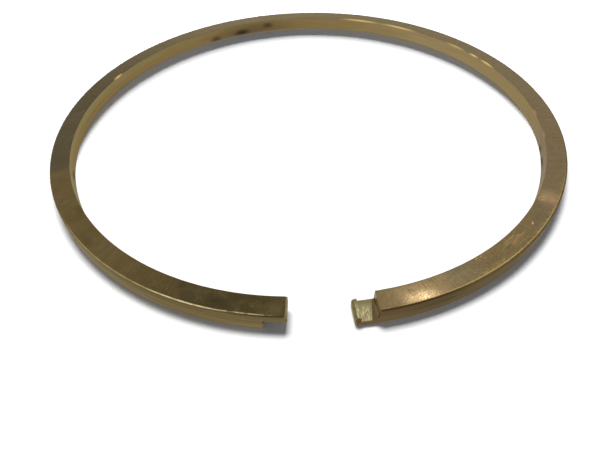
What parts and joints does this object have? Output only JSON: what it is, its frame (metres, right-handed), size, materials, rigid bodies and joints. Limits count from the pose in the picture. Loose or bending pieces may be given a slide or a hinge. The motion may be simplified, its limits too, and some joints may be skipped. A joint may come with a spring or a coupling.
{
  "type": "seal ring",
  "caption": "Split bronze seal ring of rectangular section, sprung open, with a hooked step joint at its gap.",
  "frame": {"origin": "middle of the free ring's outline, on its lower side face", "axes": "+Z is the ring's axis, up from the face it lies on; -Y points to the gap; the upper hooked finger is at the gap's -X side and the lower tongue at its +X side"},
  "size_m": [0.2094, 0.2048, 0.0065],
  "materials": {
    "bronze": "turned and lapped bronze, dull, with darker tarnish and bright broken edges"
  },
  "bodies": {
    "root": {"seal_ring": "bronze"}
  },
  "joints": []
}
